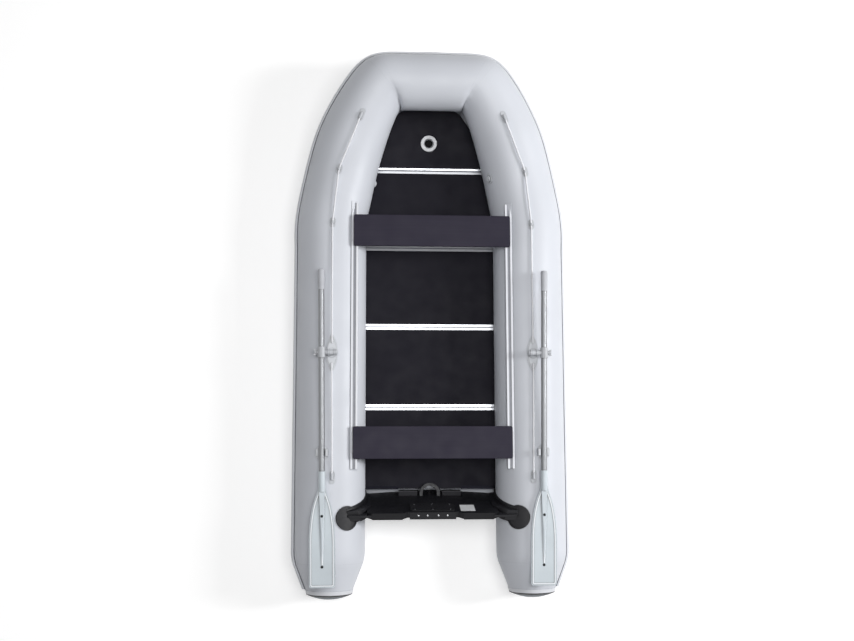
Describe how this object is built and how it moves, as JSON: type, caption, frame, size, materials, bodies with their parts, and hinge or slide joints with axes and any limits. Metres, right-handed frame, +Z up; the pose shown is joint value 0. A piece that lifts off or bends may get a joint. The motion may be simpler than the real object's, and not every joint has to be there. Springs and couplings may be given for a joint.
{
  "type": "inflatable boat with oars",
  "caption": "Open inflatable keel boat: twin side tubes with cone ends, raised bow, sectional floor, raked transom, sliding bench seats and stowed oars.",
  "frame": {"origin": "on the ground under the middle of the overall box", "axes": "+X starboard, +Y towards the bow, +Z up"},
  "size_m": [1.67, 3.3003, 0.5701],
  "materials": {
    "tube_fabric": "smooth, slightly sheened light grey coated fabric",
    "rubber_dark": "satin black rubber",
    "rubber_grey": "satin light grey rubber",
    "skin_fabric": "matt grey coated fabric",
    "floor_coat": "black non-slip film on plywood",
    "joiner_metal": "satin extruded aluminium",
    "transom_coat": "black satin film on plywood",
    "moulding_grey": "satin light grey moulding",
    "moulding_dark": "satin black moulding",
    "seat_coat": "charcoal satin film on plywood",
    "rail_fabric": "satin pale extrusion",
    "shaft_metal": "satin anodised tube",
    "grip_rubber": "mid grey moulded grip",
    "blade_plastic": "pale blue-grey moulding",
    "steel": "polished stainless steel",
    "rope": "white braided rope",
    "webbing": "grey moulded handle"
  },
  "bodies": {
    "root": {"tube_port": "tube_fabric", "tube_starboard": "tube_fabric", "tube_bow": "tube_fabric", "stern_cap_port": "rubber_dark", "stern_cap_starboard": "rubber_dark", "strake_port": "rubber_grey", "strake_starboard": "rubber_grey", "strake_bow": "rubber_grey", "bottom_skin": "skin_fabric", "air_keel": "skin_fabric", "keel_guard": "rubber_grey", "floor_board_stern": "floor_coat", "floor_board_after": "floor_coat", "floor_board_middle": "floor_coat", "floor_board_forward": "floor_coat", "floor_board_bow": "floor_coat", "floor_joiners": "joiner_metal", "floor_stringers": "joiner_metal", "valve_ring": "moulding_grey", "keel_valve": "moulding_dark", "transom_board": "transom_coat", "transom_trims": "rubber_dark", "motor_pad_outer": "moulding_dark", "motor_pad_inner": "moulding_dark", "motor_pad_cap": "moulding_dark", "floor_stops": "moulding_dark", "drain_arch": "moulding_dark", "drain_plug": "moulding_dark", "transom_holder_starboard": "rubber_dark", "transom_holder_port": "rubber_dark", "seat_rail_starboard": "rail_fabric", "seat_rail_port": "rail_fabric", "rail_strips": "tube_fabric", "oar_clips": "moulding_grey", "tube_valves": "moulding_grey", "oarlock_pads": "moulding_grey", "lifelines": "rope", "lifeline_tabs": "moulding_grey", "bow_handle": "webbing", "tow_patch": "rubber_grey", "tow_ring": "steel"},
    "seat_forward": {"seat_forward": "seat_coat", "seat_forward_feet": "moulding_dark"},
    "seat_aft": {"seat_aft": "seat_coat", "seat_aft_feet": "moulding_dark"},
    "swivel_port": {"oarlock_swivel_port": "moulding_grey"},
    "oar_port": {"oarlock_pin_port": "steel", "oar_clamp_port": "moulding_grey", "oar_shaft_port": "shaft_metal", "oar_grip_port": "grip_rubber", "oar_blade_port": "blade_plastic"},
    "swivel_starboard": {"oarlock_swivel_starboard": "moulding_grey"},
    "oar_starboard": {"oarlock_pin_starboard": "steel", "oar_clamp_starboard": "moulding_grey", "oar_shaft_starboard": "shaft_metal", "oar_grip_starboard": "grip_rubber", "oar_blade_starboard": "blade_plastic"}
  },
  "joints": [
    {"name": "seat_forward_slide", "type": "slide", "parent": "root", "child": "seat_forward", "axis": [0, -1, 0], "range_m": [0, 0.5]},
    {"name": "seat_aft_slide", "type": "slide", "parent": "root", "child": "seat_aft", "axis": [0, 1, 0], "range_m": [0, 0.5]},
    {"name": "oar_starboard_swing", "type": "hinge", "parent": "root", "child": "swivel_starboard", "pos_m": [0.597, -0.207, 0.45], "axis": [0, 0, 1], "range_deg": [0, 140]},
    {"name": "oar_starboard_lift", "type": "hinge", "parent": "swivel_starboard", "child": "oar_starboard", "pos_m": [0.657, -0.207, 0.46585], "axis": [-1, 0, 0], "range_deg": [0, 4]},
    {"name": "oar_port_swing", "type": "hinge", "parent": "root", "child": "swivel_port", "pos_m": [-0.597, -0.207, 0.45], "axis": [0, 0, -1], "range_deg": [0, 140]},
    {"name": "oar_port_lift", "type": "hinge", "parent": "swivel_port", "child": "oar_port", "pos_m": [-0.657, -0.207, 0.46585], "axis": [-1, 0, 0], "range_deg": [0, 4]}
  ]
}
